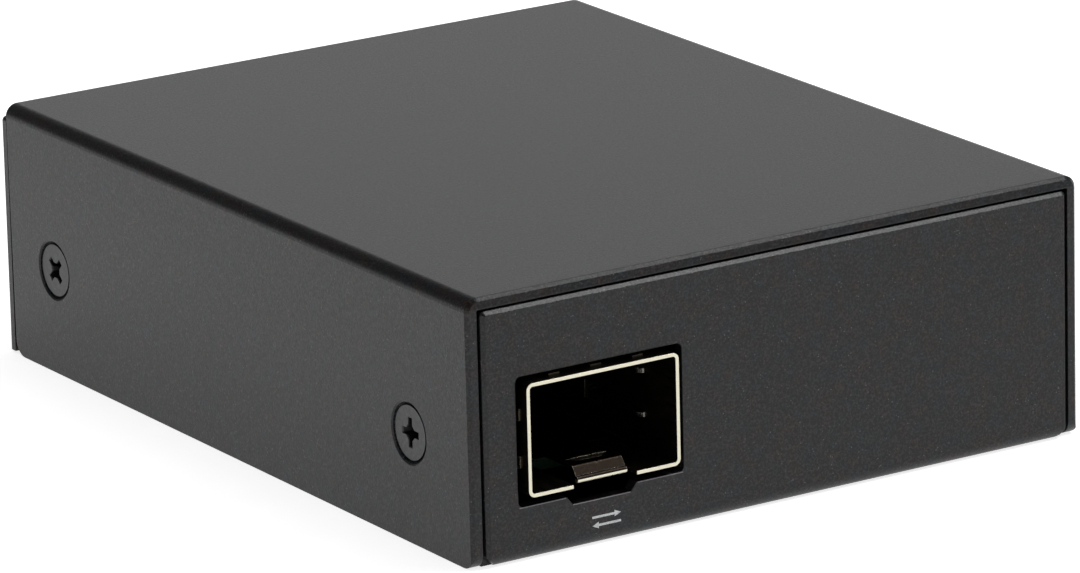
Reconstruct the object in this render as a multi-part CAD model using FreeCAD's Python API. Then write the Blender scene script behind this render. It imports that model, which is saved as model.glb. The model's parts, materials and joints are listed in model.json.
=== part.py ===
"""Mini media converter for one plug-in fibre transceiver and one copper network cable.

A folded sheet-metal case (inverted-U cover over a tray with front and rear panels) holds a
circuit board that carries the transceiver cage, the network jack and the power inlet.

Frame: millimetres, +Z up, origin on the floor under the middle of the case.
The transceiver slot faces -Y, the network jack and the power inlet face +Y.
"""
import FreeCAD, Part
import math
import os

# ---------------------------------------------------------------- case
CASE_WIDTH = 61.0
CASE_HEIGHT = 23.0
TRAY_LENGTH = 77.7
PANEL_PROUD = 0.3            # front panel's face in front of the cover's rim
COVER_REAR_GAP = 0.25        # cover's side walls to the rear panel, at the floor
COVER_OVERHANG = 0.4         # cover's top behind its side walls
SHEET = 1.0                  # sheet thickness of cover and tray
BEND_INSIDE = 0.15           # inside radius of every fold
COAT_EDGE = 0.3              # softened outer cut edges
COVER_CORNER = 1.4           # lower corners of the cover's sides
PANEL_CORNER = 0.4           # upper corners of the panels
PANEL_FOOT = 1.0             # lower corners of the front panel, cut off beside its fold
PANEL_SIDE_GAP = 0.28        # each side, between the front panel and the cover's side wall
PANEL_TOP_GAP = 0.2          # between a panel and the cover's top
REAR_LEAN = 0.5              # degrees that the rear panel leans inwards
WING_FOOT = 0.2              # lower edge of the rear panel's wings, behind the cover's sides
PORT_PROUD = 0.6             # how far the port shells stand out of the tray's ends

# ---------------------------------------------------------------- cover screws and their tabs
FRONT_SCREW_SETBACK = 9.7    # front screws, from the tray's front face
REAR_SCREW_SETBACK = 8.8     # rear screws, from the tray's rear face
SCREW_LEVEL = 9.5            # height of the screws
SCREW_THREAD = 2.5           # thread diameter, for cover and board screws alike
SCREW_LENGTH = 4.6
SINK_DIAMETER = 5.5          # mouth of the countersink, as deep as the cover's sheet
HEAD_DIAMETER = 4.7
HEAD_SINK = 0.15             # heads below the cover's face
THREAD_GAP = 0.05            # radial clearance of threads and seats
RECESS_SPAN = 2.6            # across the cross recess
RECESS_WIDTH = 0.62
RECESS_DEPTH = 1.2
TAB_WIDTH = 9.0
TAB_ABOVE_SCREW = 4.5
TAB_CORNER = 1.0             # upper corners of a tab
RELIEF_WIDTH = 0.8           # notch beside each tab's fold
RELIEF_DEPTH = 1.6

# ---------------------------------------------------------------- circuit board and its supports
STANDOFF_HEIGHT = 2.95       # tray floor to board
STANDOFF_HEX = 4.2           # across the flats of the barrel
STANDOFF_FOOT = 4.8          # across the flats of the pressed-in foot
BOARD_THICKNESS = 1.6
BOARD_SIDE_GAP = 1.0         # board to the inner faces of the screw tabs
BOARD_END_GAP = 0.5          # board to the rear panel
BOARD_SETBACK = 10.0         # cage's mouth to the board's front edge
BOARD_SCREW_LENGTH = 4.4     # under the head
CHEESE_DIAMETER = 4.4
CHEESE_HEIGHT = 1.5
STANDOFF_INSET = 3.5         # standoff axes inside the board's edges

# ---------------------------------------------------------------- transceiver cage
CAGE_INSET = 2.0             # left edge of the board to the cage
CAGE_WIDTH = 14.8
CAGE_HEIGHT = 9.7
CAGE_LENGTH = 48.7
CAGE_SHEET = 0.3
CAGE_CORNER = 0.6
CAGE_LIP_LENGTH = 9.0        # folded-in bottom flanges at the mouth
CAGE_END_MARGIN = 3.0        # lips and rear wall to the nearest pins and vents
LATCH_GAP = 6.2              # gap between those flanges
TONGUE_WIDTH = 4.8
TONGUE_LIFT = 1.2            # underside of the tongue above the board
TONGUE_LIP = 0.45            # middle of the front lip above the board
TONGUE_SETBACK = 0.7         # front lip behind the mouth
TONGUE_NOSE = 0.6            # length of the steep nose down to the lip
TONGUE_RAMP = (0.6, 2.6)     # near and far end of the ramp, in front of the tongue's root
TONGUE_BEND = 0.3            # radius of the tongue's bends
WINDOW_WIDTH = 4.0           # triangular latch window, its apex towards the mouth
WINDOW_LENGTH = 1.7
WINDOW_APEX = 0.5            # apex behind the lip
VENT_FLATS = 2.8             # hexagonal vents in the cage's roof
VENT_PITCH = 4.4
VENT_COLUMNS = 2
VENT_ROWS = 3
SIDE_WINDOW = (2.6, 1.6)     # length and height of the cage's side windows
CAGE_PINS = 4                # press-fit pins on each side
PIN_WIDTH = 0.6
PIN_BELOW_BOARD = 0.6        # how far every pin and tail reaches through the board
PIN_GAP = 0.1                # board clearance round every pin and tail

# panel cut-out around the cage
CUTOUT_SIDE_GAP = 0.7
CUTOUT_TOP_GAP = 0.55
CUTOUT_BOTTOM_GAP = 0.85
CUTOUT_CORNER = 0.5
NOTCH_TOP = 6.8
NOTCH_BOTTOM = 5.7
NOTCH_DEPTH = 0.7

# spring-finger collar between cage and panel
COLLAR_SHEET = 0.12
COLLAR_BAND = 2.6            # length of the plain band
COLLAR_BEHIND_PANEL = 1.6    # band's front edge behind the panel's inner face
FINGER_WIDTH = 1.0
FINGER_PITCH = 4.05
FINGER_BOW = 0.34            # how far a finger bows out from the cage
FINGER_TIP_SETBACK = 0.45    # finger tips behind the panel's outer face

# transceiver connector inside the cage
PLUG_DEPTH = 37.2            # mouth of the cage to the connector's face
CONNECTOR_WIDTH = 12.4
CONNECTOR_HEIGHT = 5.6
CONNECTOR_LENGTH = 9.6
CARD_SLOT_WIDTH = 9.4
CARD_SLOT_HEIGHT = 1.5
CARD_SLOT_DEPTH = 6.0
CARD_SLOT_LEVEL = 3.2        # middle of the card slot above the board
CONTACTS_PER_ROW = 10
CONTACT_PITCH = 0.8
CONTACT_WIDTH = 0.34
CONTACT_THICKNESS = 0.2
CONTACT_TIP = 0.8            # contact tips behind the connector's face
CONTACT_FOOT = 0.9           # upper row's feet on the board, behind the connector
LOWER_ROW_INSET = 1.6        # lower row's tails in front of the connector's back
CONNECTOR_NOSE = 0.6         # bevel round the connector's face

# ---------------------------------------------------------------- network jack
JACK_INSET = 6.5             # left edge of the board to the jack
JACK_WIDTH = 16.0
JACK_HEIGHT = 13.4
JACK_LENGTH = 21.3
JACK_SHEET = 0.25
JACK_CORNER = 0.5
JACK_GAP = 0.5               # shell to the panel's cut-out
JACK_FIT = 0.1               # shell to moulding
JACK_FRAME = 0.9             # width of the shell's front frame
JACK_POST_SHARE = 0.45       # solder posts, as a share of the shell's length from its front
PLUG_WIDTH = 11.9
PLUG_HEIGHT = 7.2
PLUG_FLOOR = 4.2             # cavity floor above the board
PLUG_CAVITY_DEPTH = 13.0
KEY_STEPS = [(6.4, 1.5), (3.6, 1.4)]   # width and height of the steps under the cavity
JACK_HOUSING_LENGTH = 16.4
WIRE_COUNT = 8
WIRE_PITCH = 1.02
WIRE_SIZE = 0.4
WIRE_SLOPE_DROP = 2.2
WIRE_FOLD = 2.6              # fold of the wires behind the moulding's face
WIRE_TIP = 9.4               # free ends of the wires behind the moulding's face
WIRE_ROWS = (0.9, 3.4)       # the two rows of tails behind the moulding
JACK_LED = (2.6, 2.0)        # width and height of a lens
JACK_LED_LENGTH = 9.0
JACK_LED_INSET = (0.4, 0.3)  # lens to the frame's side and foot

# ---------------------------------------------------------------- power inlet
INLET_INSET = 3.0            # right edge of the board to the inlet
INLET_WIDTH = 9.0
INLET_HEIGHT = 11.0
INLET_LENGTH = 14.0
INLET_AXIS = 6.5             # bore's axis above the board
INLET_BORE = 6.4
INLET_BORE_DEPTH = 9.5
INLET_PIN = 2.1
INLET_PIN_SETBACK = 0.8
INLET_CROWN = 1.5            # bevels along the moulding's top
INLET_TAIL_SHARES = (0.92, 0.55)   # pin's and leaf's tails, as shares of the length from the face
INLET_HOLE = 8.0             # hole in the rear panel
INLET_PANEL_GAP = 0.3
LEAF_WIDTH = 2.2
LEAF_THICKNESS = 0.3
LEAF_SETBACK = 2.0
TAIL_WIDTH = 0.8             # the inlet's solder tails
TAIL_THICKNESS = 0.4

# ---------------------------------------------------------------- status lights
STATUS_PITCH = 5.08
STATUS_COUNT = 2
STATUS_LENS = (2.0, 4.0)     # width and height of a lens
STATUS_LEVEL = 4.6           # lens axis above the board
STATUS_HOLDER = (4.4, 7.4)   # depth and height of the holder
STATUS_PROUD = 0.6
STATUS_BEVEL = 0.3
STATUS_HOLE_GAP = 0.15

# ---------------------------------------------------------------- components on the board
CONVERTER_CHIP = (10.0, 10.0, 0.9)
SMALL_PACKAGE = (3.9, 4.9, 1.5)
TRANSFORMER = (7.0, 12.7, 5.6)
TRANSFORMER_GAP = 1.0        # jack to the transformer's leads
LEAD_PITCH = 1.27
LEAD_REACH = 1.0             # how far a lead stands out of its package
LEAD_WIDTH = 0.4
LEAD_THICKNESS = 0.2
PACKAGE_BEVEL = 0.15
PACKAGE_CLEARANCE = 0.1      # under a leaded package
CHIP_KEY = 1.2               # cut corner that marks pin one
CRYSTAL = (7.0, 5.0, 1.4)
COIL_SIDE = 6.2
COIL_HEIGHT = 3.0
CAN_DIAMETER = 6.3
CAN_HEIGHT = 5.8
CAN_BASE = 0.8
CAN_PLACES = [(0.62, 0.90), (0.84, 0.76)]   # shares across and along the open board
CRYSTAL_LID = (0.5, 0.6)     # margin round the lid and its thickness
FUSE = (4.6, 2.4, 1.4)
FUSE_GAP = 0.8               # inlet and light holder to the fuse
CERAMIC_CHIP = (1.6, 0.8, 0.8)
CERAMIC_PITCH = 2.8
RESISTOR_CHIP = (1.6, 0.8, 0.45)
RESISTOR_PITCH = 1.76

# ---------------------------------------------------------------- derived levels and planes
FRONT_Y = -TRAY_LENGTH / 2.0
REAR_Y = TRAY_LENGTH / 2.0
BEND_OUTSIDE = BEND_INSIDE + SHEET
INNER_HALF = CASE_WIDTH / 2.0 - SHEET
PANEL_HALF = INNER_HALF - PANEL_SIDE_GAP
COVER_FRONT = FRONT_Y + PANEL_PROUD
COVER_SIDE_REAR = REAR_Y - SHEET - COVER_REAR_GAP
COVER_REAR = COVER_SIDE_REAR + COVER_OVERHANG
PANEL_TOP = CASE_HEIGHT - SHEET - PANEL_TOP_GAP
BOARD_BOTTOM = SHEET + STANDOFF_HEIGHT
BOARD_TOP = BOARD_BOTTOM + BOARD_THICKNESS
BOARD_HALF = INNER_HALF - SHEET - BOARD_SIDE_GAP
CAGE_X = -BOARD_HALF + CAGE_INSET + CAGE_WIDTH / 2.0
CAGE_FRONT = FRONT_Y - PORT_PROUD
CAGE_REAR = CAGE_FRONT + CAGE_LENGTH
BOARD_FRONT = CAGE_FRONT + BOARD_SETBACK
CAGE_TOP = BOARD_TOP + CAGE_HEIGHT
JACK_X = -BOARD_HALF + JACK_INSET + JACK_WIDTH / 2.0
JACK_FRONT = REAR_Y + PORT_PROUD
JACK_REAR = JACK_FRONT - JACK_LENGTH
JACK_FACE = JACK_FRONT - JACK_SHEET - JACK_FIT
LEAN = math.tan(math.radians(REAR_LEAN))
INLET_X = BOARD_HALF - INLET_INSET - INLET_WIDTH / 2.0
INLET_FACE = REAR_Y - (BOARD_TOP + INLET_HEIGHT) * LEAN - SHEET - INLET_PANEL_GAP
STATUS_X = (JACK_X + JACK_WIDTH / 2.0 + INLET_X - INLET_WIDTH / 2.0) / 2.0
BOARD_REAR = REAR_Y - BOARD_TOP * LEAN - SHEET - BOARD_END_GAP
SCREW_ROWS = [FRONT_Y + FRONT_SCREW_SETBACK, REAR_Y - REAR_SCREW_SETBACK]
CAGE_SIDE = CAGE_X + CAGE_WIDTH / 2.0
STANDOFFS = [((CAGE_SIDE + BOARD_HALF) / 2.0, BOARD_FRONT + STANDOFF_INSET),
             (BOARD_HALF - STANDOFF_INSET, INLET_FACE - INLET_LENGTH - STANDOFF_INSET),
             (-BOARD_HALF + STANDOFF_INSET, CAGE_REAR + 1.5 * STANDOFF_INSET)]

X = FreeCAD.Vector(1, 0, 0)
Y = FreeCAD.Vector(0, 1, 0)
Z = FreeCAD.Vector(0, 0, 1)


# ================================================================ shared helpers
def rear_face(level):
    """Y of the rear panel's outer face at a height."""
    return REAR_Y - level * LEAN


def box(x, y, z):
    """Box from three (low, high) pairs."""
    corner = FreeCAD.Vector(x[0], y[0], z[0])
    return Part.makeBox(x[1] - x[0], y[1] - y[0], z[1] - z[0], corner)


def cylinder(radius, base, direction, length):
    return Part.makeCylinder(radius, length, FreeCAD.Vector(*base), direction)


def around(middle, size):
    """(low, high) pair of a size centred on a middle."""
    return (middle - size / 2.0, middle + size / 2.0)


def in_xz(y):
    return lambda a, b: FreeCAD.Vector(a, y, b)


def in_yz(x):
    return lambda a, b: FreeCAD.Vector(x, a, b)


def in_xy(z):
    return lambda a, b: FreeCAD.Vector(a, b, z)


def outline(corners, place):
    """Closed face from (a, b) or (a, b, radius) corners, each radius as a true arc."""
    points = [place(c[0], c[1]) for c in corners]
    radii = [c[2] if len(c) > 2 else 0.0 for c in corners]
    count = len(points)
    starts, ends, arcs = [], [], []
    for i, point in enumerate(points):
        before = (points[i - 1] - point).normalize()
        after = (points[(i + 1) % count] - point).normalize()
        half = before.getAngle(after) / 2.0
        reach = radii[i] / math.tan(half)
        start = point + before * reach
        end = point + after * reach
        starts.append(start)
        ends.append(end)
        if radii[i]:
            middle = (before + after).normalize()
            centre = point + middle * (radii[i] / math.sin(half))
            arcs.append(Part.Arc(start, centre - middle * radii[i], end).toShape())
        else:
            arcs.append(None)
    edges = []
    for i in range(count):
        if arcs[i]:
            edges.append(arcs[i])
        following = starts[(i + 1) % count]
        if ends[i].distanceToPoint(following) > 1e-6:
            edges.append(Part.LineSegment(ends[i], following).toShape())
    return Part.Face(Part.Wire(edges))


def rounded_rectangle(a, b, radius, place):
    corners = [(a[0], b[0], radius), (a[1], b[0], radius), (a[1], b[1], radius), (a[0], b[1], radius)]
    return outline(corners, place)


def hexagon(x, y, flats, z):
    """Upright hexagonal prism between two levels."""
    radius = flats / math.sqrt(3)
    turns = [math.radians(60 * i) for i in range(6)]
    corners = [(x + radius * math.cos(turn), y + radius * math.sin(turn)) for turn in turns]
    return outline(corners, in_xy(z[0])).extrude(Z * (z[1] - z[0]))


def turned(profile):
    """Solid of revolution about Z from (radius, height) points."""
    points = [FreeCAD.Vector(r, 0, h) for r, h in profile]
    points.append(points[0])
    return Part.Face(Part.makePolygon(points)).revolve(FreeCAD.Vector(0, 0, 0), Z, 360)


def placed(shape, base, axis, twist=0.0):
    """Copy whose local +Z points along axis, after a twist about its own Z."""
    turn = FreeCAD.Rotation(Z, axis).multiply(FreeCAD.Rotation(Z, twist))
    copy = shape.copy()
    copy.Placement = FreeCAD.Placement(FreeCAD.Vector(*base), turn)
    return copy


def all_points(edge, test):
    """True where both ends and the middle of an edge pass a test."""
    middle = edge.valueAt((edge.FirstParameter + edge.LastParameter) / 2.0)
    return all(test(point) for point in [v.Point for v in edge.Vertexes] + [middle])


def near(value, target):
    return abs(value - target) < 1e-4


# ================================================================ case
def screw_seat(side, y):
    """Countersink through the cover and thread hole through its tab, for one cover screw."""
    mouth = SINK_DIAMETER / 2.0
    hole = SCREW_THREAD / 2.0 + THREAD_GAP
    depth = 2.5 * SHEET
    profile = [(0, SHEET), (mouth, SHEET), (mouth, 0), (hole, -SHEET), (hole, -depth), (0, -depth)]
    return placed(turned(profile), (side * CASE_WIDTH / 2.0, y, SCREW_LEVEL), X * side)


def top_cover():
    half = CASE_WIDTH / 2.0
    length = COVER_REAR - COVER_FRONT
    corners = [(-half, 0), (half, 0), (half, CASE_HEIGHT, BEND_OUTSIDE), (-half, CASE_HEIGHT, BEND_OUTSIDE)]
    block = outline(corners, in_xz(COVER_FRONT)).extrude(Y * length)

    def on_end_rim(edge):
        ends = [all_points(edge, lambda p, y=y: near(p.y, y)) for y in (COVER_FRONT, COVER_REAR)]
        return any(ends) and not all_points(edge, lambda p: near(p.z, 0))

    block = block.makeChamfer(COAT_EDGE, [e for e in block.Edges if on_end_rim(e)])
    ceiling = CASE_HEIGHT - SHEET
    hollow = [(-INNER_HALF, -1), (INNER_HALF, -1),
              (INNER_HALF, ceiling, BEND_INSIDE), (-INNER_HALF, ceiling, BEND_INSIDE)]
    block = block.cut(outline(hollow, in_xz(COVER_FRONT - 1)).extrude(Y * (length + 2)))
    shoulder = CASE_HEIGHT - BEND_OUTSIDE
    side = [(COVER_FRONT, 0, COVER_CORNER), (COVER_SIDE_REAR, 0, COVER_CORNER), (COVER_SIDE_REAR, shoulder),
            (COVER_REAR, shoulder), (COVER_REAR, CASE_HEIGHT + 1), (COVER_FRONT, CASE_HEIGHT + 1)]
    cover = block.common(outline(side, in_yz(-half - 1)).extrude(X * (CASE_WIDTH + 2)))
    for sign in (-1, 1):
        for y in SCREW_ROWS:
            cover = cover.cut(screw_seat(sign, y))
    return cover


def wide_rear_panel():
    """Rear panel above its fold, with wings that reach behind the cover's sides."""
    half = CASE_WIDTH / 2.0
    slab = [(rear_face(0), 0), (rear_face(PANEL_TOP), PANEL_TOP), (rear_face(PANEL_TOP) - SHEET, PANEL_TOP),
            (rear_face(0) - SHEET, 0)]
    face = [(-half, WING_FOOT), (-PANEL_HALF, WING_FOOT), (-PANEL_HALF, BEND_OUTSIDE),
            (PANEL_HALF, BEND_OUTSIDE), (PANEL_HALF, WING_FOOT), (half, WING_FOOT),
            (half, PANEL_TOP, PANEL_CORNER), (-half, PANEL_TOP, PANEL_CORNER)]
    panel = outline(slab, in_yz(-half)).extrude(X * CASE_WIDTH)
    return panel.common(outline(face, in_xz(0)).extrude(Y * TRAY_LENGTH))


def folded_tray():
    """Floor with the front and rear panels folded up, the rear one leaning in a little."""
    inner_rear = REAR_Y - SHEET
    profile = [(FRONT_Y, 0, BEND_OUTSIDE), (REAR_Y, 0, BEND_OUTSIDE), (rear_face(PANEL_TOP), PANEL_TOP),
               (rear_face(PANEL_TOP) - SHEET, PANEL_TOP), (inner_rear - SHEET * LEAN, SHEET, BEND_INSIDE),
               (FRONT_Y + SHEET, SHEET, BEND_INSIDE), (FRONT_Y + SHEET, PANEL_TOP), (FRONT_Y, PANEL_TOP)]
    tray = outline(profile, in_yz(-PANEL_HALF)).extrude(X * (2 * PANEL_HALF))
    face = [(-PANEL_HALF, 0), (PANEL_HALF, 0), (PANEL_HALF, PANEL_TOP, PANEL_CORNER),
            (-PANEL_HALF, PANEL_TOP, PANEL_CORNER)]
    tray = tray.common(outline(face, in_xz(FRONT_Y - 1)).extrude(Y * (TRAY_LENGTH + 2)))
    for side in (-1, 1):
        edge = side * PANEL_HALF
        corner = [(edge, 0), (edge - side * PANEL_FOOT, 0), (edge, PANEL_FOOT)]
        tray = tray.cut(outline(corner, in_xz(FRONT_Y)).extrude(Y * BEND_OUTSIDE))
    tray = tray.fuse(wide_rear_panel()).removeSplitter()

    def on_panel_rim(edge):
        front = all_points(edge, lambda p: near(p.y, FRONT_Y))
        rear = all_points(edge, lambda p: near(p.y, rear_face(p.z)))
        return (front or rear) and not all_points(edge, lambda p: p.z < BEND_OUTSIDE + 0.1)

    return tray.makeChamfer(COAT_EDGE, [e for e in tray.Edges if on_panel_rim(e)])


def screw_tab(side, y):
    """Tab folded up from the floor, face to face with the cover's side wall."""
    top = SCREW_LEVEL + TAB_ABOVE_SCREW
    edge = PANEL_HALF - RELIEF_DEPTH
    profile = [(side * edge, 0), (side * INNER_HALF, 0, BEND_OUTSIDE), (side * INNER_HALF, top),
               (side * (INNER_HALF - SHEET), top), (side * (INNER_HALF - SHEET), SHEET, BEND_INSIDE),
               (side * edge, SHEET)]
    tab = outline(profile, in_xz(y - TAB_WIDTH / 2.0)).extrude(Y * TAB_WIDTH)
    corners = [e for e in tab.Edges if all_points(e, lambda p: near(p.z, top)) and near(e.Length, SHEET)]
    return tab.makeChamfer(TAB_CORNER, corners)


def cage_cutout():
    """Opening in the front panel, with the notch that clears the latch tongue."""
    x = around(CAGE_X, CAGE_WIDTH + 2 * CUTOUT_SIDE_GAP)
    z = (BOARD_TOP - CUTOUT_BOTTOM_GAP, CAGE_TOP + CUTOUT_TOP_GAP)
    wide = around(CAGE_X, NOTCH_TOP)
    narrow = around(CAGE_X, NOTCH_BOTTOM)
    corners = [(x[0], z[0], CUTOUT_CORNER), (wide[0], z[0]), (narrow[0], z[0] - NOTCH_DEPTH),
               (narrow[1], z[0] - NOTCH_DEPTH), (wide[1], z[0]), (x[1], z[0], CUTOUT_CORNER),
               (x[1], z[1], CUTOUT_CORNER), (x[0], z[1], CUTOUT_CORNER)]
    return outline(corners, in_xz(FRONT_Y - 0.5)).extrude(Y * (SHEET + 1.0))


def rear_cutouts():
    """Openings in the rear panel for the jack, the inlet and the status lights."""
    start = rear_face(PANEL_TOP) - SHEET - 1.0
    end = REAR_Y + 1.0
    level = BOARD_TOP + JACK_HEIGHT / 2.0
    jack_x = around(JACK_X, JACK_WIDTH + 2 * JACK_GAP)
    holes = [box(jack_x, (start, end), around(level, JACK_HEIGHT + 2 * JACK_GAP))]
    holes.append(cylinder(INLET_HOLE / 2.0, (INLET_X, start, BOARD_TOP + INLET_AXIS), Y, end - start))
    width, height = STATUS_LENS
    z = around(BOARD_TOP + STATUS_LEVEL, height + 2 * STATUS_HOLE_GAP)
    holes += [box(around(x, width + 2 * STATUS_HOLE_GAP), (start, end), z) for x in status_places()]
    return holes


def base_tray():
    tray = folded_tray()
    for side in (-1, 1):
        for y in SCREW_ROWS:
            for end in (-1, 1):
                beside = around(y + end * (TAB_WIDTH + RELIEF_WIDTH) / 2.0, RELIEF_WIDTH)
                tray = tray.cut(box(around(side * PANEL_HALF, 2 * RELIEF_DEPTH), beside, (-1, SHEET + 1)))
            tray = tray.fuse(screw_tab(side, y)).cut(screw_seat(side, y))
    tray = tray.cut(cage_cutout())
    for hole in rear_cutouts():
        tray = tray.cut(hole)
    for x, y in STANDOFFS:
        tray = tray.cut(standoff_body(x, y, SHEET))
    return tray.removeSplitter()


def cross_recess():
    """Tapered cross below z = 0."""
    def blade(length, width):
        floor = rounded_rectangle(around(0, length * 0.42), around(0, width * 0.6), 0, in_xy(-RECESS_DEPTH))
        mouth = rounded_rectangle(around(0, length), around(0, width), 0, in_xy(0))
        return Part.makeLoft([floor.OuterWire, mouth.OuterWire], True)

    core = blade(2.2 * RECESS_WIDTH, 2.2 * RECESS_WIDTH)
    core.rotate(FreeCAD.Vector(0, 0, 0), Z, 45)
    return core.fuse([blade(RECESS_SPAN, RECESS_WIDTH), blade(RECESS_WIDTH, RECESS_SPAN)])


def cover_screws():
    """Four countersunk screws, each just below the cover's face."""
    shank = SCREW_THREAD / 2.0
    screw = turned([(0, 0), (HEAD_DIAMETER / 2.0, 0), (shank, HEAD_SINK - SHEET),
                    (shank, -SCREW_LENGTH), (0, -SCREW_LENGTH)]).cut(cross_recess())
    screws = []
    for side in (-1, 1):
        for twist, y in zip((0.0, 45.0), SCREW_ROWS):
            base = (side * (CASE_WIDTH / 2.0 - HEAD_SINK), y, SCREW_LEVEL)
            screws.append(placed(screw, base, X * side, twist))
    return Part.Compound(screws)


# ================================================================ board and its supports
def standoff_body(x, y, height):
    """Pressed-in hexagonal standoff up to a height, with a wider foot in the tray's floor."""
    foot = hexagon(x, y, STANDOFF_FOOT, (0, SHEET))
    return foot.fuse(hexagon(x, y, STANDOFF_HEX, (0, height))).removeSplitter()


def board_standoffs():
    bodies = []
    for x, y in STANDOFFS:
        hole = cylinder(SCREW_THREAD / 2.0 + THREAD_GAP, (x, y, SHEET), Z, BOARD_BOTTOM)
        bodies.append(standoff_body(x, y, BOARD_BOTTOM).cut(hole))
    return Part.Compound(bodies)


def board_screws():
    """Three cheese-head screws."""
    head = CHEESE_DIAMETER / 2.0
    shank = SCREW_THREAD / 2.0
    screw = turned([(0, -BOARD_SCREW_LENGTH), (shank, -BOARD_SCREW_LENGTH), (shank, 0), (head, 0),
                    (head, CHEESE_HEIGHT), (0, CHEESE_HEIGHT)])
    return Part.Compound([placed(screw, (x, y, BOARD_TOP), Z) for x, y in STANDOFFS])


def circuit_board():
    board = box((-BOARD_HALF, BOARD_HALF), (BOARD_FRONT, BOARD_REAR), (BOARD_BOTTOM, BOARD_TOP))
    pins = [(x, y, CAGE_SHEET, PIN_WIDTH) for x, y in cage_pins()]
    pins += [(x, y, JACK_SHEET, PIN_WIDTH) for x, y in jack_posts()]
    pins += [(x, y, WIRE_SIZE, WIRE_SIZE) for x, y in jack_tails()]
    pins += [(x, y, TAIL_WIDTH, TAIL_THICKNESS) for x, y in inlet_tails()]
    through = (BOARD_BOTTOM - 1, BOARD_TOP + 1)
    holes = [box(around(x, a + 2 * PIN_GAP), around(y, b + 2 * PIN_GAP), through) for x, y, a, b in pins]
    radius = SCREW_THREAD / 2.0 + PIN_GAP
    holes += [cylinder(radius, (x, y, BOARD_BOTTOM - 1), Z, BOARD_THICKNESS + 2) for x, y in STANDOFFS]
    return board.cut(holes)


# ================================================================ transceiver cage
def cage_pins():
    """Places of the cage's press-fit pins, in two rows under its side walls."""
    reach = CAGE_WIDTH / 2.0 - CAGE_SHEET / 2.0
    first = CAGE_FRONT + CAGE_LIP_LENGTH + CAGE_END_MARGIN
    pitch = (CAGE_REAR - CAGE_END_MARGIN - first) / (CAGE_PINS - 1)
    return [(CAGE_X + side * reach, first + pitch * i) for side in (-1, 1) for i in range(CAGE_PINS)]


def cage_shell():
    """Folded tube with a slotted lower lip, vents, side windows, a rear wall and press-fit pins."""
    x = around(CAGE_X, CAGE_WIDTH)
    z = (BOARD_TOP, CAGE_TOP)
    inner_x = (x[0] + CAGE_SHEET, x[1] - CAGE_SHEET)
    inner_z = (z[0] + CAGE_SHEET, z[1] - CAGE_SHEET)
    shell = rounded_rectangle(x, z, CAGE_CORNER, in_xz(CAGE_FRONT)).extrude(Y * CAGE_LENGTH)
    bore = rounded_rectangle(inner_x, inner_z, CAGE_CORNER - CAGE_SHEET, in_xz(CAGE_FRONT - 1))
    shell = shell.cut(bore.extrude(Y * (CAGE_LENGTH + 1 - CAGE_SHEET)))
    lip_end = CAGE_FRONT + CAGE_LIP_LENGTH
    below = (z[0] - 1, inner_z[0] + THREAD_GAP)
    shell = shell.cut(box(around(CAGE_X, LATCH_GAP), (CAGE_FRONT - 1, lip_end + 1), below))
    shell = shell.cut(box(inner_x, (lip_end, CAGE_REAR + 1), below))
    last = CAGE_REAR - CAGE_END_MARGIN
    for row in range(VENT_ROWS):
        for column in range(VENT_COLUMNS):
            vent_x = CAGE_X + (column - (VENT_COLUMNS - 1) / 2.0) * VENT_PITCH
            shell = shell.cut(hexagon(vent_x, last - row * VENT_PITCH, VENT_FLATS, (z[1] - 1, z[1] + 1)))
    length, height = SIDE_WINDOW
    level = around(BOARD_TOP + 2.0 * height, height)
    for y in (lip_end + 1.0 + length, last - 2.0 * length):
        shell = shell.cut(box((x[0] - 1, x[1] + 1), around(y, length), level))
    upright = (BOARD_BOTTOM - PIN_BELOW_BOARD, z[0] + CAGE_CORNER)
    for pin_x, pin_y in cage_pins():
        shell = shell.fuse(box(around(pin_x, CAGE_SHEET), around(pin_y, PIN_WIDTH), upright))
    return shell.removeSplitter()


def cage_floor():
    """Floor strip of the cage with its sprung latch tongue, lip and latch window."""
    half = CAGE_WIDTH / 2.0 - CAGE_SHEET - THREAD_GAP
    root = CAGE_FRONT + CAGE_LIP_LENGTH + THREAD_GAP
    rear = CAGE_FRONT + PLUG_DEPTH - 1.0
    floor = box(around(CAGE_X, 2 * half), (root, rear), (BOARD_TOP, BOARD_TOP + CAGE_SHEET))
    front = CAGE_FRONT + TONGUE_SETBACK
    nose = front + TONGUE_NOSE
    path = [(root + 1.0, 0.0, 0.0), (root - TONGUE_RAMP[0], 0.0, TONGUE_BEND),
            (root - TONGUE_RAMP[1], TONGUE_LIFT, TONGUE_BEND), (nose, TONGUE_LIFT, TONGUE_BEND),
            (front, TONGUE_LIP, 0.0)]
    under = [(y, BOARD_TOP + lift, bend) for y, lift, bend in path]
    over = [(y, z + CAGE_SHEET, bend) for y, z, bend in reversed(under)]
    tongue = outline(under + over, in_yz(CAGE_X - TONGUE_WIDTH / 2.0)).extrude(X * TONGUE_WIDTH)
    curl = cylinder(CAGE_SHEET, (CAGE_X - TONGUE_WIDTH / 2.0, front, BOARD_TOP + TONGUE_LIP), X, TONGUE_WIDTH)
    apex = front + WINDOW_APEX
    left, right = around(CAGE_X, WINDOW_WIDTH)
    corners = [(CAGE_X, apex), (right, apex + WINDOW_LENGTH), (left, apex + WINDOW_LENGTH)]
    window = outline(corners, in_xy(BOARD_TOP)).extrude(Z * CAGE_HEIGHT)
    return floor.fuse([tongue, curl]).cut(window).removeSplitter()


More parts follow.
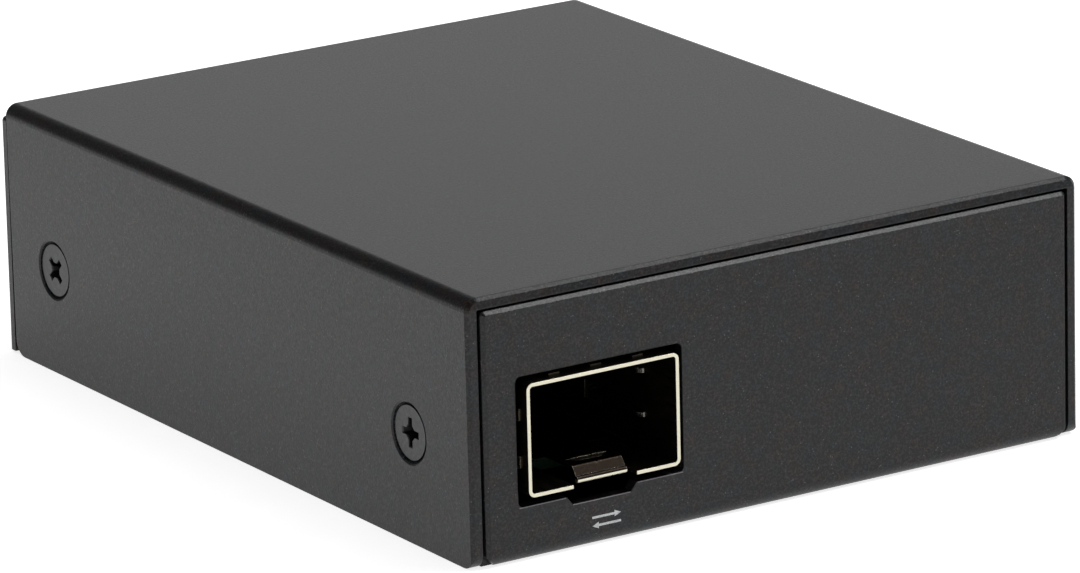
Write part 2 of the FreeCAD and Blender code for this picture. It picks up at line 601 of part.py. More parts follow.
def finger_profile(base, outward, place):
    """One bowed spring finger: a thin arc from the band forward to its tip on the cage."""
    band = FRONT_Y + SHEET + COLLAR_BEHIND_PANEL + 0.1
    tip = FRONT_Y + FINGER_TIP_SETBACK
    middle = (band + tip) / 2.0
    lines = []
    for lift in (0.0, COLLAR_SHEET):
        rise = base + outward * lift
        crest = base + outward * (FINGER_BOW + lift)
        lines.append(Part.Arc(place(band, rise), place(middle, crest), place(tip, rise)).toShape())
    ends = [Part.LineSegment(lines[0].valueAt(lines[0].LastParameter),
                             lines[1].valueAt(lines[1].LastParameter)).toShape(),
            Part.LineSegment(lines[0].valueAt(lines[0].FirstParameter),
                             lines[1].valueAt(lines[1].FirstParameter)).toShape()]
    return Part.Face(Part.Wire(Part.__sortEdges__(lines + ends)))


def cage_collar():
    """Band of spring fingers round the cage's mouth, bowed out towards the panel's cut-out."""
    x = around(CAGE_X, CAGE_WIDTH)
    z = (BOARD_TOP, CAGE_TOP)
    start = FRONT_Y + SHEET + COLLAR_BEHIND_PANEL
    roof = z[1] + COLLAR_SHEET
    bend = CAGE_CORNER + COLLAR_SHEET
    outer = [(x[0] - COLLAR_SHEET, z[0]), (x[0] - COLLAR_SHEET, roof, bend),
             (x[1] + COLLAR_SHEET, roof, bend), (x[1] + COLLAR_SHEET, z[0])]
    inner = [(x[0], z[0] - 1), (x[0], z[1], CAGE_CORNER), (x[1], z[1], CAGE_CORNER), (x[1], z[0] - 1)]
    band = outline(outer, in_xz(start)).extrude(Y * COLLAR_BAND)
    band = band.cut(outline(inner, in_xz(start - 1)).extrude(Y * (COLLAR_BAND + 2)))
    fingers = []
    for i in (-1, 0, 1):
        left = CAGE_X + i * FINGER_PITCH - FINGER_WIDTH / 2.0
        fingers.append(finger_profile(z[1], 1, in_yz(left)).extrude(X * FINGER_WIDTH))
    for side, wall in ((-1, x[0]), (1, x[1])):
        for i in (-0.5, 0.5):
            low = (z[0] + z[1]) / 2.0 + i * FINGER_PITCH - FINGER_WIDTH / 2.0
            face = finger_profile(wall, side, lambda a, b, low=low: FreeCAD.Vector(b, a, low))
            fingers.append(face.extrude(Z * FINGER_WIDTH))
    return band.fuse(fingers).removeSplitter()


def connector_rows():
    return [CAGE_X + (i - (CONTACTS_PER_ROW - 1) / 2.0) * CONTACT_PITCH for i in range(CONTACTS_PER_ROW)]


def transceiver_contacts():
    """Two rows of formed contacts: along the card slot, down the connector and out to a foot."""
    front = CAGE_FRONT + PLUG_DEPTH
    rear = front + CONNECTOR_LENGTH
    level = BOARD_TOP + CARD_SLOT_LEVEL
    contacts = []
    rows = ((1, rear, CONTACT_FOOT), (-1, rear - LOWER_ROW_INSET - CONTACT_THICKNESS, 0.0))
    foot_z = (BOARD_TOP, BOARD_TOP + CONTACT_THICKNESS)
    for x in connector_rows():
        width = around(x, CONTACT_WIDTH)
        for side, out, foot in rows:
            edge = level + side * CARD_SLOT_HEIGHT / 2.0
            beam_z = (edge, edge + CONTACT_THICKNESS) if side > 0 else (edge - CONTACT_THICKNESS, edge)
            beam = box(width, (front + CONTACT_TIP, out + CONTACT_THICKNESS), beam_z)
            drop = box(width, (out, out + CONTACT_THICKNESS), (BOARD_TOP, beam_z[1]))
            contact = beam.fuse(drop)
            if foot:
                contact = contact.fuse(box(width, (out, out + foot), foot_z))
            contacts.append(contact.removeSplitter())
    return Part.Compound(contacts)


def transceiver_connector():
    front = CAGE_FRONT + PLUG_DEPTH
    x = around(CAGE_X, CONNECTOR_WIDTH)
    body = box(x, (front, front + CONNECTOR_LENGTH), (BOARD_TOP, BOARD_TOP + CONNECTOR_HEIGHT))
    face = [e for e in body.Edges if all_points(e, lambda p: near(p.y, front))]
    body = body.makeChamfer(CONNECTOR_NOSE, [e for e in face if near(e.Length, CONNECTOR_WIDTH)])
    slot_z = around(BOARD_TOP + CARD_SLOT_LEVEL, CARD_SLOT_HEIGHT)
    body = body.cut(box(around(CAGE_X, CARD_SLOT_WIDTH), (front - 1, front + CARD_SLOT_DEPTH), slot_z))
    return body.cut(transceiver_contacts().Solids)


# ================================================================ network jack
def jack_posts():
    """Places of the shell's two solder posts."""
    reach = JACK_WIDTH / 2.0 - JACK_SHEET / 2.0
    return [(JACK_X + side * reach, JACK_FRONT - JACK_POST_SHARE * JACK_LENGTH) for side in (-1, 1)]


def jack_wires():
    return [JACK_X + (i - (WIRE_COUNT - 1) / 2.0) * WIRE_PITCH for i in range(WIRE_COUNT)]


def jack_tails():
    """Places of the contact tails: two staggered rows behind the moulding."""
    rear = JACK_FACE - JACK_HOUSING_LENGTH
    return [(x, rear - WIRE_ROWS[i % 2]) for i, x in enumerate(jack_wires())]


def network_jack_shell():
    """Plated shell: top, sides, rear wall and a front frame round the plug opening."""
    x = around(JACK_X, JACK_WIDTH)
    z = (BOARD_TOP, BOARD_TOP + JACK_HEIGHT)
    shell = rounded_rectangle(x, z, JACK_CORNER, in_xz(JACK_REAR)).extrude(Y * JACK_LENGTH)
    inner_x = (x[0] + JACK_SHEET, x[1] - JACK_SHEET)
    inner_z = (z[0] - 1.0, z[1] - JACK_SHEET)
    shell = shell.cut(box(inner_x, (JACK_REAR + JACK_SHEET, JACK_FRONT - JACK_SHEET), inner_z))
    shell = shell.cut(box((x[0] + JACK_FRAME, x[1] - JACK_FRAME), (JACK_FRONT - 1, JACK_FRONT + 1),
                          (z[0] + JACK_FRAME, z[1] - JACK_FRAME)))
    upright = (BOARD_BOTTOM - PIN_BELOW_BOARD, z[0] + JACK_CORNER)
    for post_x, post_y in jack_posts():
        shell = shell.fuse(box(around(post_x, JACK_SHEET), around(post_y, PIN_WIDTH), upright))
    return shell.removeSplitter()


def plug_cavity(front):
    """Plug opening with the stepped keyway for the plug's latch below it."""
    low = BOARD_TOP + PLUG_FLOOR
    rear = front - PLUG_CAVITY_DEPTH
    cavity = box(around(JACK_X, PLUG_WIDTH), (rear, front + 1), (low, low + PLUG_HEIGHT))
    for width, height in KEY_STEPS:
        low -= height
        cavity = cavity.fuse(box(around(JACK_X, width), (rear, front + 1), (low, low + height)))
    return cavity.removeSplitter()


def jack_led_box(side):
    """Seat of one status lens in a lower corner of the jack's face."""
    width, height = JACK_LED
    middle = JACK_X + side * (JACK_WIDTH / 2.0 - JACK_FRAME - JACK_LED_INSET[0] - width / 2.0)
    low = BOARD_TOP + JACK_FRAME + JACK_LED_INSET[1]
    return box(around(middle, width), (JACK_FACE - JACK_LED_LENGTH, JACK_FACE), (low, low + height))


def network_jack_housing():
    front = JACK_FACE
    inset = JACK_SHEET + JACK_FIT
    x = around(JACK_X, JACK_WIDTH - 2 * inset)
    z = (BOARD_TOP, BOARD_TOP + JACK_HEIGHT - inset)
    body = box(x, (front - JACK_HOUSING_LENGTH, front), z)
    body = body.cut(plug_cavity(front))
    ceiling = BOARD_TOP + PLUG_FLOOR + PLUG_HEIGHT
    slot = box(around(JACK_X, WIRE_COUNT * WIRE_PITCH + 2 * JACK_FIT),
               (front - JACK_HOUSING_LENGTH - 1, front - WIRE_FOLD + WIRE_SIZE),
               (ceiling - JACK_FIT, ceiling + WIRE_SIZE + JACK_FIT))
    body = body.cut(slot)
    for side in (-1, 1):
        body = body.cut(jack_led_box(side))
    return body


def network_jack_contacts():
    """Eight spring wires: along the cavity's roof, folded back down into it, and tails to the board."""
    front = JACK_FACE
    roof = BOARD_TOP + PLUG_FLOOR + PLUG_HEIGHT
    fold = front - WIRE_FOLD
    tip = front - WIRE_TIP
    low = BOARD_BOTTOM - PIN_BELOW_BOARD
    wires = []
    for x, tail in jack_tails():
        half = WIRE_SIZE / 2.0
        corners = [(tail - half, low), (tail + half, low), (tail + half, roof),
                   (fold - 5 * WIRE_SIZE, roof), (tip, roof - WIRE_SLOPE_DROP),
                   (tip, roof - WIRE_SLOPE_DROP - WIRE_SIZE),
                   (fold, roof), (fold, roof + WIRE_SIZE), (tail - half, roof + WIRE_SIZE)]
        wires.append(outline(corners, in_yz(x - half)).extrude(X * WIRE_SIZE))
    return Part.Compound(wires)


# ================================================================ power inlet
def inlet_tails():
    return [(INLET_X, INLET_FACE - share * INLET_LENGTH) for share in INLET_TAIL_SHARES]


def leaf_tail():
    """Box of the leaf's tail, from the bore down through the board."""
    x, y = inlet_tails()[1]
    top = BOARD_TOP + INLET_AXIS - INLET_BORE / 2.0 + LEAF_THICKNESS
    return box(around(x, TAIL_WIDTH), around(y, TAIL_THICKNESS), (BOARD_BOTTOM - PIN_BELOW_BOARD, top))


def power_inlet_housing():
    front = INLET_FACE
    y = (front - INLET_LENGTH, front)
    body = box(around(INLET_X, INLET_WIDTH), y, (BOARD_TOP, BOARD_TOP + INLET_HEIGHT))
    upright = [e for e in body.Edges if all_points(e, lambda p: near(p.z, BOARD_TOP + INLET_HEIGHT))
               and near(e.Length, INLET_LENGTH)]
    body = body.makeChamfer(INLET_CROWN, upright)
    body = body.cut(cylinder(INLET_BORE / 2.0, (INLET_X, front - INLET_BORE_DEPTH, BOARD_TOP + INLET_AXIS), Y,
                             INLET_BORE_DEPTH + 1))
    return body.cut([power_inlet_pin(), power_inlet_spring()])


def power_inlet_pin():
    """Centre pin with its shank in the moulding and its tail."""
    tail_x, tail_y = inlet_tails()[0]
    level = BOARD_TOP + INLET_AXIS
    start = tail_y - TAIL_THICKNESS / 2.0
    pin = cylinder(INLET_PIN / 2.0, (INLET_X, start, level), Y, INLET_FACE - INLET_PIN_SETBACK - start)
    upright = (BOARD_BOTTOM - PIN_BELOW_BOARD, level)
    tail = box(around(tail_x, TAIL_WIDTH), around(tail_y, TAIL_THICKNESS), upright)
    return pin.fuse(tail).removeSplitter()


def power_inlet_spring():
    """Leaf that touches the plug's sleeve, lying in the bottom of the bore."""
    low = BOARD_TOP + INLET_AXIS - INLET_BORE / 2.0
    y = (INLET_FACE - INLET_BORE_DEPTH, INLET_FACE - LEAF_SETBACK)
    leaf = box(around(INLET_X, LEAF_WIDTH), y, (low, low + LEAF_THICKNESS))
    return leaf.fuse(leaf_tail()).removeSplitter()


# ================================================================ status lights
def status_places():
    return [STATUS_X + (i - (STATUS_COUNT - 1) / 2.0) * STATUS_PITCH for i in range(STATUS_COUNT)]


def status_lens(x):
    """Rectangular lens with a bevelled tip, from its holder out through the rear panel."""
    level = BOARD_TOP + STATUS_LEVEL
    tip = rear_face(level) + STATUS_PROUD
    start = INLET_FACE - STATUS_HOLDER[0] / 2.0
    lens = box(around(x, STATUS_LENS[0]), (start, tip), around(level, STATUS_LENS[1]))
    end = [e for e in lens.Edges if all_points(e, lambda p: near(p.y, tip))]
    return lens.makeChamfer(STATUS_BEVEL, end)


def status_holder():
    depth, height = STATUS_HOLDER
    x = around(STATUS_X, STATUS_PITCH * STATUS_COUNT)
    front = INLET_FACE
    body = box(x, (front - depth, front), (BOARD_TOP, BOARD_TOP + height))
    for place in status_places():
        body = body.cut(status_lens(place))
    return body


# ================================================================ components on the board
def on_board(x, y, size):
    """Box component standing on the board, centred at a place."""
    return box(around(x, size[0]), around(y, size[1]), (BOARD_TOP, BOARD_TOP + size[2]))


def leaded_package(x, y, size, leads):
    """Moulded package with a row of gull-wing leads out of each of its X sides."""
    body = on_board(x, y, size)
    top = BOARD_TOP + size[2]
    body = body.makeChamfer(PACKAGE_BEVEL, [e for e in body.Edges if all_points(e, lambda p: near(p.z, top))])
    body.translate(Z * PACKAGE_CLEARANCE)
    middle = BOARD_TOP + size[2] / 2.0
    half = LEAD_THICKNESS / 2.0
    parts = []
    for side in (-1, 1):
        edge = x + side * size[0] / 2.0
        bend = edge + side * LEAD_WIDTH
        profile = [(edge - side * half, middle - half), (bend - side * half, middle - half),
                   (bend - side * half, BOARD_TOP), (edge + side * LEAD_REACH, BOARD_TOP),
                   (edge + side * LEAD_REACH, BOARD_TOP + LEAD_THICKNESS),
                   (bend + side * half, BOARD_TOP + LEAD_THICKNESS), (bend + side * half, middle + half),
                   (edge - side * half, middle + half)]
        for i in range(leads):
            start = y + (i - (leads - 1) / 2.0) * LEAD_PITCH - LEAD_WIDTH / 2.0
            parts.append(outline(profile, in_xz(start)).extrude(Y * LEAD_WIDTH))
    return body.fuse(parts).removeSplitter()


def flat_chip(x, y, size):
    """Leadless package with a cut corner that marks pin one."""
    body = on_board(x, y, size)
    corner = [e for e in body.Edges if all_points(e, lambda p: near(p.x, x - size[0] / 2.0)
                                                  and near(p.y, y + size[1] / 2.0))]
    return body.makeChamfer(CHIP_KEY, corner)


def can_capacitor(x, y):
    """Aluminium can on its square base."""
    base = on_board(x, y, (CAN_DIAMETER, CAN_DIAMETER, CAN_BASE))
    return base.fuse(cylinder(CAN_DIAMETER / 2.0, (x, y, BOARD_TOP), Z, CAN_HEIGHT)).removeSplitter()


def crystal_package(x, y, size):
    """Surface-mount crystal: ceramic tray with a metal lid."""
    margin, lid = CRYSTAL_LID
    tray = on_board(x, y, (size[0], size[1], size[2] - lid))
    return tray.fuse(on_board(x, y, (size[0] - 2 * margin, size[1] - 2 * margin, size[2])))


def coil(x, y, side, height):
    """Shielded power inductor: square block with bevelled corners."""
    block = on_board(x, y, (side, side, height))
    return block.makeChamfer(0.15 * side, [e for e in block.Edges if near(e.Length, height)])


def row_of_chips(x, y, count, pitch, size):
    """Small chip components in a row, its middle at a place."""
    return Part.Compound([on_board(x, y + (i - (count - 1) / 2.0) * pitch, size) for i in range(count)])


def across(share):
    """X at a share of the open stretch between the cage and the board's right edge."""
    return CAGE_SIDE + share * (BOARD_HALF - CAGE_SIDE)


def along(share):
    """Y at a share of the stretch between the board's front edge and the inlet."""
    return BOARD_FRONT + share * (INLET_FACE - INLET_LENGTH - BOARD_FRONT)


def isolation_transformer():
    """Tall leaded module beside the jack."""
    x = JACK_X + (JACK_WIDTH + TRANSFORMER[0]) / 2.0 + LEAD_REACH + TRANSFORMER_GAP
    return leaded_package(x, JACK_REAR, TRANSFORMER, 6)


def input_fuse():
    x = INLET_X - (INLET_WIDTH + FUSE[0]) / 2.0 - FUSE_GAP
    return on_board(x, INLET_FACE - STATUS_HOLDER[0] - FUSE_GAP - FUSE[1] / 2.0, FUSE)


# ================================================================ assembly
PARTS = {
    "top_cover": top_cover,
    "base_tray": base_tray,
    "cover_screws": cover_screws,
    "board_standoffs": board_standoffs,
    "board_screws": board_screws,
    "circuit_board": circuit_board,
    "transceiver_cage_shell": cage_shell,
    "transceiver_cage_floor": cage_floor,
    "transceiver_cage_collar": cage_collar,
    "transceiver_connector": transceiver_connector,
    "transceiver_contacts": transceiver_contacts,
    "network_jack_shell": network_jack_shell,
    "network_jack_housing": network_jack_housing,
    "network_jack_contacts": network_jack_contacts,
    "network_jack_green_lens": lambda: jack_led_box(-1),
    "network_jack_yellow_lens": lambda: jack_led_box(1),
    "power_inlet_housing": power_inlet_housing,
    "power_inlet_pin": power_inlet_pin,
    "power_inlet_spring": power_inlet_spring,
    "status_light_holder": status_holder,
    "status_light_lenses": lambda: Part.Compound([status_lens(x) for x in status_places()]),
    "converter_chip": lambda: flat_chip(across(0.40), along(0.46), CONVERTER_CHIP),
    "memory_chip": lambda: leaded_package(across(0.75), along(0.24), SMALL_PACKAGE, 4),
    "power_regulator": lambda: leaded_package(across(0.85), along(0.60), SMALL_PACKAGE, 4),
    "isolation_transformer": isolation_transformer,
    "clock_crystal": lambda: crystal_package(across(0.74), along(0.40), CRYSTAL),
    "power_coil": lambda: coil(across(0.52), along(0.68), COIL_SIDE, COIL_HEIGHT),
    "buffer_capacitors": lambda: Part.Compound([can_capacitor(across(a), along(b)) for a, b in CAN_PLACES]),
    "input_fuse": input_fuse,
    "ceramic_capacitors": lambda: row_of_chips(across(0.06), along(0.40), 6, CERAMIC_PITCH, CERAMIC_CHIP),
    "chip_resistors": lambda: row_of_chips(across(0.66), along(0.54), 4, RESISTOR_PITCH, RESISTOR_CHIP),
}


def main():
    os.makedirs("parts", exist_ok=True)
    for name, make in PARTS.items():
        make().exportStep("parts/%s.step" % name)


main()
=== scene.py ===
"""Looks of the mini media converter: finishes, a printed port mark, cage springs, floor, light and camera.

Everything is in metres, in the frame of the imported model: +Z up, the transceiver slot faces -Y.
"""
import bpy
import json
import math
from mathutils import Matrix, Vector


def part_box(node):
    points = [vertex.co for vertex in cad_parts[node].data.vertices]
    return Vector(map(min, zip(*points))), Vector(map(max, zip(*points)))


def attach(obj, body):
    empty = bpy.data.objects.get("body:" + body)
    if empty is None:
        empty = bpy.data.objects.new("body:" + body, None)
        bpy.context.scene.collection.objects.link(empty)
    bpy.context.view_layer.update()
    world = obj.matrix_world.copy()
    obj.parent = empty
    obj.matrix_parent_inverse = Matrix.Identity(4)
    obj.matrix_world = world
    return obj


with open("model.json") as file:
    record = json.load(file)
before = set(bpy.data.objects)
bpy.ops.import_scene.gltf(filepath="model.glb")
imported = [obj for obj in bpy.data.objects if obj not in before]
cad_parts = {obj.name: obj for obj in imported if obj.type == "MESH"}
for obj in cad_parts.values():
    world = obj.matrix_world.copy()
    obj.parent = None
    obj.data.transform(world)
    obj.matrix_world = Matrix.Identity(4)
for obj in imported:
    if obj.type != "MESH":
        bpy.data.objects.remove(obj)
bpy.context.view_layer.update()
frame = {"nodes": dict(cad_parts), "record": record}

MM = 0.001

# ---------------------------------------------------------------- camera, as angles and distances
CAMERA_AZIMUTH = math.radians(-32.359)   # 0 looks along +Y
CAMERA_ELEVATION = math.radians(16.505)
CAMERA_ROLL = math.radians(-1.491)
CAMERA_DISTANCE = 637.8 * MM
CAMERA_LENS = 255.53                     # millimetres, on the sensor below
SENSOR_WIDTH = 36.0
AIM_RIGHT = -19.75 * MM                  # aim point, from the foot of the cover's front rim
AIM_UP = 18.425 * MM

# ---------------------------------------------------------------- studio light
WALL = 0.93                              # radiance of the white sweep behind the floor
WALL_SHADED = 0.18
WALL_TOP = (18, 22)                      # degrees above the horizon where it ends softly
SHADED_HEADING = (-0.6, 0.8)             # towards the sweep's shaded stretch
CEILING = 0.12
KEY_HEADING = (0.513, -0.284, 0.81)      # from the object to the small softbox
KEY_DISTANCE = 0.9
KEY_SIZE = (0.35, 0.2)
KEY_POWER = 3.0
OVERHEAD_HEIGHT = 1.1
OVERHEAD_SIZE = (0.6, 0.6)
OVERHEAD_POWER = 2.2
FLOOR_REACH = 3.0
FLOOR_LEVEL = -0.01 * MM                 # just under the tray, which stands on z = 0
FLOOR_GLOW = 0.76                        # keeps the background white
FLOOR_HOLE_INSET = 1.5 * MM              # hole's edges inside the tray's

# ---------------------------------------------------------------- powder coat
COAT_GLOSS = 0.28
RIM_PAINTED_SHADE_GLOSS = 0.16                         # cover's front rim, lowered to paint shade on its edge
BEND_PAINTED_SHADE_GLOSS = 0.19                        # fold between the cover's top and its left side, lowered to paint shade along it
SINK_PAINTED_SHADE_GLOSS = 0.02                        # walls of the countersinks, lowered to paint shade in them
COVER_BEND = 1.15 * MM                   # outside radius of the cover's folds
RIM_HEIGHT = 0.9 * MM
RIM_DEPTH = 0.33 * MM
SINK_SKIN = 0.1 * MM                     # the cover's side walls are glossy down to this depth
SINK_SETBACK = 1.0 * MM                  # keeps the front rim out of that dark region
# pale coat painted on as a highlight
PAINTED_HIGHLIGHT_COAT = (0.24, 0.23, 0.25)

# lower edge of the transceiver slot, painted pale as a highlight: (left end, right end, height), from the
# slot's middle
SLOT_EDGES = ((-8.0 * MM, -3.5 * MM, 4.7 * MM),
              (3.5 * MM, 8.0 * MM, 4.7 * MM),
              (-2.8 * MM, 2.8 * MM, 4.0 * MM))
EDGE_WIDTH = 0.09 * MM
EDGE_DEPTH = 0.2 * MM
# share by which the slot's lower edge is painted pale as a highlight
EDGE_PAINTED_HIGHLIGHT = 0.6

# ---------------------------------------------------------------- transceiver cage
CAGE_SHEET = 0.3 * MM
MOUTH_DEPTH = 0.05 * MM                  # pale cut face of the shell, a painted highlight
LIP_DEPTH = 0.45 * MM                    # pale lip of the latch tongue, a painted highlight
LIP_HEIGHT = 0.5 * MM
# pale colour painted on the cage's cut edges and rims as a highlight
CAGE_CUT_PAINTED_HIGHLIGHT = (0.62, 0.59, 0.47)
# near-black tone: stains on the shell, and painted shade over the whole cage floor
CAGE_STAIN_AND_PAINTED_SHADE = (0.016, 0.012, 0.009)
SPRING_LEVELS = (12.5 * MM, 8.7 * MM)
SPRING_SETBACK = 4.9 * MM                # behind the cage's mouth
SPRING_LENGTH = 1.5 * MM
SPRING_WIDTH = 0.4 * MM
SPRING_BOW = 0.32 * MM
SPRING_THICKNESS = 0.1 * MM
SPRING_STEPS = 8

# ---------------------------------------------------------------- printed port mark
MARK_LEVEL = 2.1 * MM                    # its middle above the floor
MARK_SHIFT = 0.4 * MM                    # to the right of the cage's middle
MARK_PROUD = 0.012 * MM                  # in front of the panel
ARROW_LENGTH = 2.8 * MM
ARROW_STROKE = 0.20 * MM
ARROW_HEAD = 0.62 * MM
ARROW_HEAD_HALF = ARROW_HEAD / 2.2
ARROW_GAP = 0.36 * MM                    # each arrow from the mark's middle

SCREW_FACE = 0.12 * MM                   # what lies deeper than this in a screw is its cross recess, painted near black as shade


# ================================================================ node helpers
class Shade:
    """One material's node tree, with short ways to add and join nodes."""

    def __init__(self, name):
        self.material = bpy.data.materials.new(name)
        self.material.use_nodes = True
        self.tree = self.material.node_tree
        self.shader = self.tree.nodes["Principled BSDF"]
        self.position = self.add("ShaderNodeTexCoord").outputs["Object"]

    def add(self, kind, **settings):
        node = self.tree.nodes.new(kind)
        for key, value in settings.items():
            setattr(node, key, value)
        return node

    def join(self, source, target):
        self.tree.links.new(source, target)

    def set(self, **values):
        """Plain values straight on the shader's sockets."""
        for key, value in values.items():
            self.shader.inputs[key.replace("_", " ")].default_value = value

    def noise(self, size, detail=2.0, rough=0.5, stretch=None):
        """Noise whose grain is about size metres; stretch scales it per axis."""
        node = self.add("ShaderNodeTexNoise")
        node.inputs["Scale"].default_value = 1.0 / size
        node.inputs["Detail"].default_value = detail
        node.inputs["Roughness"].default_value = rough
        source = self.position
        if stretch:
            mapping = self.add("ShaderNodeMapping")
            mapping.inputs["Scale"].default_value = stretch
            self.join(source, mapping.inputs["Vector"])
            source = mapping.outputs["Vector"]
        self.join(source, node.inputs["Vector"])
        return node.outputs["Fac"]

    def cells(self, size, feature="F1"):
        """Distance to the nearest of points that are about size metres apart, in shares of that size."""
        node = self.add("ShaderNodeTexVoronoi", feature=feature)
        node.inputs["Scale"].default_value = 1.0 / size
        self.join(self.position, node.inputs["Vector"])
        return node.outputs["Distance"]

    def ramp(self, source, stops):
        """Colour ramp from (place, colour) stops; a colour may be one grey number."""
        node = self.add("ShaderNodeValToRGB")
        elements = node.color_ramp.elements
        while len(elements) < len(stops):
            elements.new(0.5)
        for element, (place, colour) in zip(elements, stops):
            element.position = place
            element.color = (colour,) * 3 + (1,) if isinstance(colour, (int, float)) else (*colour, 1)
        self.join(source, node.inputs["Fac"])
        return node.outputs["Color"]

    def span(self, source, low, high, out_low, out_high):
        """Maps the range from low to high onto another one, and holds its ends."""
        node = self.add("ShaderNodeMapRange", clamp=True)
        for name, value in zip(("From Min", "From Max", "To Min", "To Max"), (low, high, out_low, out_high)):
            node.inputs[name].default_value = value
        self.join(source, node.inputs["Value"])
        return node.outputs["Result"]

    def math(self, operation, a, b):
        node = self.add("ShaderNodeMath", operation=operation)
        for socket, value in zip(node.inputs, (a, b)):
            if isinstance(value, (int, float)):
                socket.default_value = value
            else:
                self.join(value, socket)
        return node.outputs["Value"]

    def mix(self, share, a, b):
        """Blend of two colours; each may be a tuple or a socket."""
        node = self.add("ShaderNodeMix", data_type="RGBA")
        for socket, value in zip((node.inputs["Factor"], node.inputs[6], node.inputs[7]), (share, a, b)):
            if isinstance(value, tuple):
                socket.default_value = (*value, 1)
            elif isinstance(value, (int, float)):
                socket.default_value = value
            else:
                self.join(value, socket)
        return node.outputs[2]

    def multiply(self, a, b):
        """Product of two colour sockets."""
        node = self.add("ShaderNodeMix", data_type="RGBA", blend_type="MULTIPLY")
        node.inputs["Factor"].default_value = 1.0
        self.join(a, node.inputs[6])
        self.join(b, node.inputs[7])
        return node.outputs[2]

    def edges(self, radius):
        """1 on convex and concave edges, 0 on flat faces."""
        bevel = self.add("ShaderNodeBevel", samples=12)
        bevel.inputs["Radius"].default_value = radius
        dot = self.add("ShaderNodeVectorMath", operation="DOT_PRODUCT")
        self.join(bevel.outputs["Normal"], dot.inputs[0])
        self.join(self.add("ShaderNodeNewGeometry").outputs["True Normal"], dot.inputs[1])
        return self.span(dot.outputs["Value"], 0.80, 0.98, 1.0, 0.0)

    def inside(self, low, high):
        """1 in the box between two corners, 0 outside it."""
        place = self.add("ShaderNodeSeparateXYZ")
        self.join(self.position, place.inputs["Vector"])
        share = 1.0
        for axis, start, end in zip("XYZ", low, high):
            share = self.math("MULTIPLY", share, self.math("GREATER_THAN", place.outputs[axis], start))
            share = self.math("MULTIPLY", share, self.math("LESS_THAN", place.outputs[axis], end))
        return share

    def bump(self, height, strength, distance, before=None):
        node = self.add("ShaderNodeBump")
        node.inputs["Strength"].default_value = strength
        node.inputs["Distance"].default_value = distance
        self.join(height, node.inputs["Height"])
        if before:
            self.join(before, node.inputs["Normal"])
        return node.outputs["Normal"]

    def soft_edges(self, radius):
        node = self.add("ShaderNodeBevel", samples=4)
        node.inputs["Radius"].default_value = radius
        return node.outputs["Normal"]

    def colour(self, socket):
        self.join(socket, self.shader.inputs["Base Color"])

    def roughness(self, socket):
        self.join(socket, self.shader.inputs["Roughness"])

    def normal(self, socket):
        self.join(socket, self.shader.inputs["Normal"])


# ================================================================ finishes
def around_box(low, high, **limits):
    """Two corners a millimetre outside a box; limits such as max_y=0.01 move single planes."""
    corners = [list(low - Vector((MM, MM, MM))), list(high + Vector((MM, MM, MM)))]
    for key, value in limits.items():
        corners[0 if key.startswith("min") else 1]["xyz".index(key[-1])] = value
    return corners


def powder_coat(name, regions):
    """Matt black powder coat: fine-grained, faintly mottled, with pale specks.

    A region is (corners of a box, gloss of the coat in it, share by which it is painted pale as a
    highlight).
    """
    s = Shade(name)
    grain = s.noise(0.20 * MM, detail=3.0, rough=0.7)
    base = s.ramp(grain, [(0.36, 0.001), (0.50, 0.006), (0.66, 0.024)])
    patches = s.span(s.noise(1.4 * MM, detail=2.0), 0.35, 0.65, 0.0, 1.0)
    tinted = s.multiply(base, s.mix(patches, (0.70, 1.0, 1.20), (1.35, 0.95, 0.85)))
    speck = s.math("MULTIPLY", s.span(s.cells(0.36 * MM), 0.10, 0.20, 1.0, 0.0),
                   s.span(s.noise(0.9 * MM, detail=1.0), 0.52, 0.62, 0.0, 0.8))
    colour = s.mix(speck, tinted, (0.10, 0.10, 0.105))
    gloss = COAT_GLOSS
    for corners, region_gloss, painted_highlight in regions:
        share = s.inside(*corners)
        gloss = s.math("ADD", gloss, s.math("MULTIPLY", share, region_gloss - COAT_GLOSS))
        # painted highlight: the region's share is painted pale
        if painted_highlight:
            colour = s.mix(s.math("MULTIPLY", share, painted_highlight), colour, PAINTED_HIGHLIGHT_COAT)
    s.colour(colour)
    s.roughness(s.span(grain, 0.3, 0.7, 0.36, 0.27))
    s.join(gloss, s.shader.inputs["Specular IOR Level"])
    peel = s.bump(s.noise(0.55 * MM, detail=1.0), 0.12, 0.05 * MM, s.soft_edges(0.12 * MM))
    s.normal(s.bump(grain, 0.5, 0.03 * MM, peel))
    return s.material


def cover_coat():
    """The cover's coat, its gloss lowered as painted shade on the front rim, on the left fold and in the
    countersinks.
    """
    low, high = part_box("top_cover")
    shoulder = high.z - COVER_BEND
    # painted shade: lower gloss darkens the rim, the left fold and the countersinks
    rim = around_box(low, high, min_z=high.z - RIM_HEIGHT, max_y=low.y + RIM_DEPTH)
    bend = around_box(low, high, min_z=shoulder, max_x=low.x + COVER_BEND, min_y=low.y + RIM_DEPTH)
    sinks = around_box(low, high, max_z=shoulder, min_x=low.x + SINK_SKIN, max_x=high.x - SINK_SKIN,
                       min_y=low.y + SINK_SETBACK)
    return powder_coat("powder_coat_cover", [(rim, RIM_PAINTED_SHADE_GLOSS, 0.0), (bend, BEND_PAINTED_SHADE_GLOSS, 0.0),
                                             (sinks, SINK_PAINTED_SHADE_GLOSS, 0.0)])


